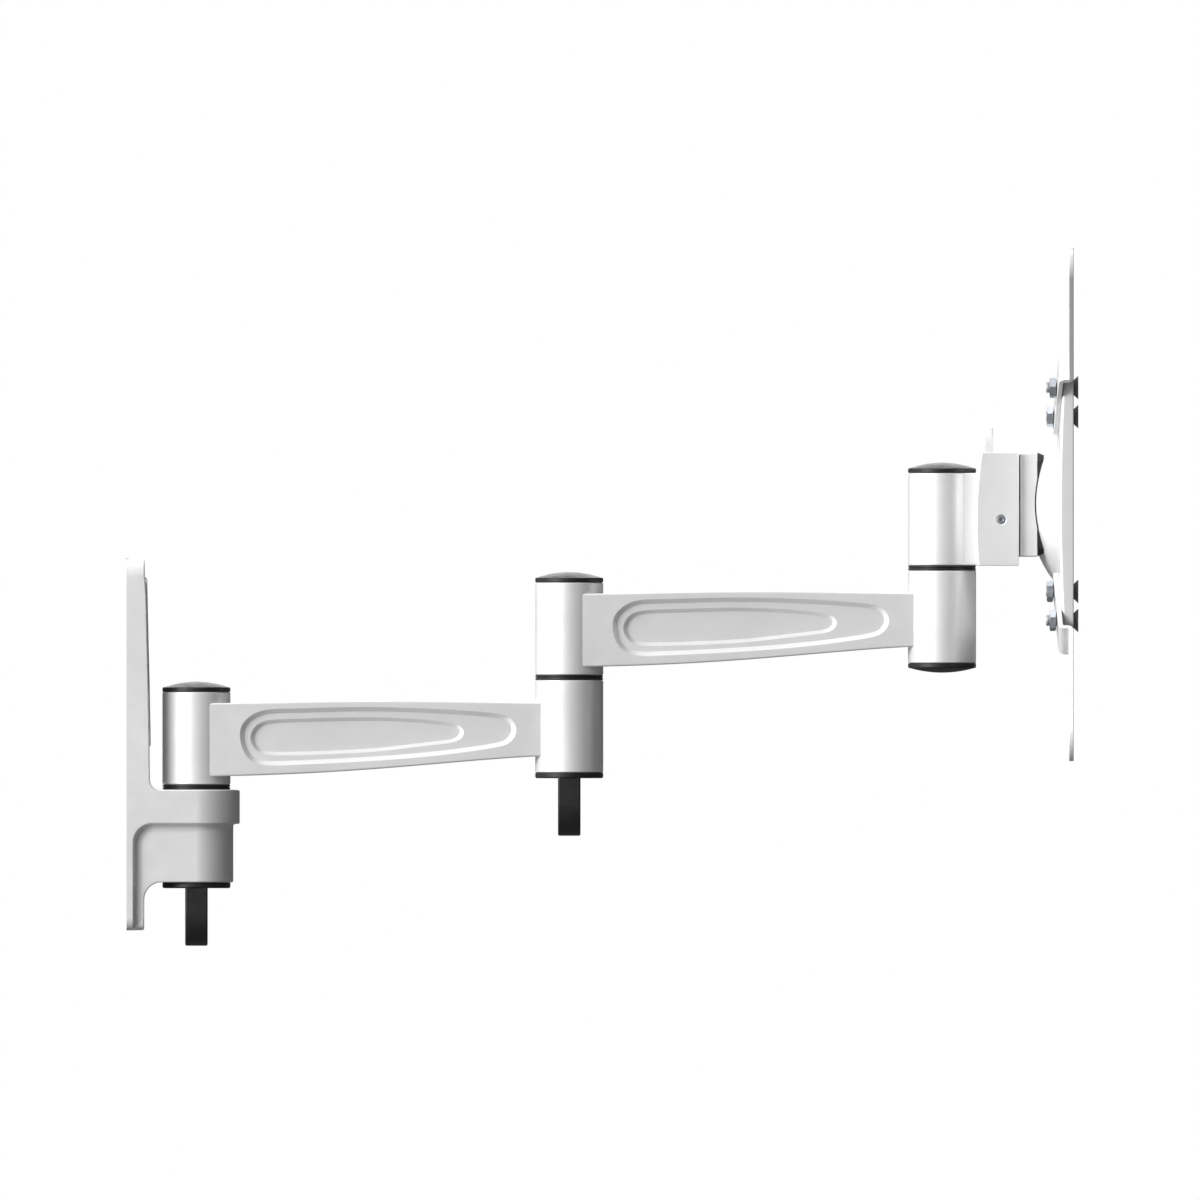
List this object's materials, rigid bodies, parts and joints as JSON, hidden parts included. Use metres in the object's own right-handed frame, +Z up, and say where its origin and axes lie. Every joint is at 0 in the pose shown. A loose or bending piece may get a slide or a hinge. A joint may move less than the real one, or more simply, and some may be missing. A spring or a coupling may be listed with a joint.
{
  "type": "full motion tv wall mount",
  "caption": "Two-arm full motion screen wall mount: cast wall bracket, swinging arms, lift-off cradle, domed tilting plate and diagonal adaptor arms.",
  "frame": {"origin": "middle of the wall bracket's back face, on the wall", "axes": "+X straight out of the wall towards the screen with the arms stretched, +Z up, +Y completes the right hand"},
  "size_m": [0.4085, 0.2206, 0.2999],
  "materials": {
    "cast_silver": "smooth satin silver paint on die-cast aluminium",
    "plate_silver": "smooth satin light silver paint on die-cast aluminium",
    "sheet_silver": "satin silver paint on pressed steel sheet",
    "cover_silver": "smooth silver moulded plastic",
    "black_plastic": "fine-textured black moulded plastic",
    "turned_steel": "turned bright steel",
    "spring_steel": "oiled spring steel",
    "zinc_steel": "bluish bright zinc plate",
    "dark_steel": "dark zinc-plated steel",
    "bronze": "sintered oil-filled bronze"
  },
  "bodies": {
    "wall_base": {"wall_bracket": "cast_silver", "wall_screw_cover": "cover_silver", "base_pivot_shaft": "turned_steel", "base_friction_ring": "black_plastic", "base_thrust_washer": "turned_steel", "base_spring_washers": "spring_steel", "base_lock_nut": "zinc_steel", "base_cable_clip": "black_plastic"},
    "inner_arm": {"inner_arm": "cast_silver", "base_bushes": "bronze", "base_top_cap": "black_plastic", "elbow_pivot_shaft": "turned_steel", "elbow_friction_ring": "black_plastic", "elbow_thrust_washer": "turned_steel", "elbow_spring_washers": "spring_steel", "elbow_lock_nut": "zinc_steel", "elbow_cable_clip": "black_plastic"},
    "outer_arm": {"outer_arm": "cast_silver", "elbow_bushes": "bronze", "elbow_top_cap": "black_plastic", "wrist_pivot_shaft": "turned_steel", "wrist_friction_ring": "black_plastic", "wrist_thrust_washer": "turned_steel", "wrist_spring_washers": "spring_steel", "wrist_lock_nut": "zinc_steel", "wrist_bottom_cap": "black_plastic"},
    "head": {"head_bracket": "cast_silver", "wrist_bushes": "bronze", "wrist_top_cap": "black_plastic", "lock_screw": "dark_steel"},
    "carriage": {"carriage": "cast_silver", "friction_cup": "black_plastic", "head_nut": "zinc_steel", "head_bolt": "zinc_steel", "head_spring_washers": "spring_steel"},
    "tilt_guide": {"guide_washer": "turned_steel"},
    "screen_plate": {"screen_plate": "plate_silver", "adaptor_arm_upper_left": "sheet_silver", "adaptor_arm_upper_right": "sheet_silver", "adaptor_arm_lower_left": "sheet_silver", "adaptor_arm_lower_right": "sheet_silver", "adaptor_screws": "dark_steel", "adaptor_nuts": "zinc_steel"}
  },
  "joints": [
    {"name": "base_swing", "type": "hinge", "parent": "wall_base", "child": "inner_arm", "pos_m": [0.03, 0, 0], "axis": [0, 0, 1], "range_deg": [-90, 90]},
    {"name": "elbow_fold", "type": "hinge", "parent": "inner_arm", "child": "outer_arm", "pos_m": [0.19, 0, 0], "axis": [0, 0, -1], "range_deg": [-165, 165]},
    {"name": "head_pan", "type": "hinge", "parent": "outer_arm", "child": "head", "pos_m": [0.35, 0, 0], "axis": [0, 0, 1], "range_deg": [-90, 90]},
    {"name": "carriage_lift", "type": "slide", "parent": "head", "child": "carriage", "axis": [0, 0, 1], "range_m": [0, 0.045]},
    {"name": "screen_roll", "type": "hinge", "parent": "carriage", "child": "tilt_guide", "pos_m": [0.39, 0, 0.103], "axis": [1, 0, 0], "range_deg": [-90, 90]},
    {"name": "screen_tilt", "type": "hinge", "parent": "tilt_guide", "child": "screen_plate", "pos_m": [0.4423, 0, 0.103], "axis": [0, 1, 0], "range_deg": [-10, 10]}
  ]
}
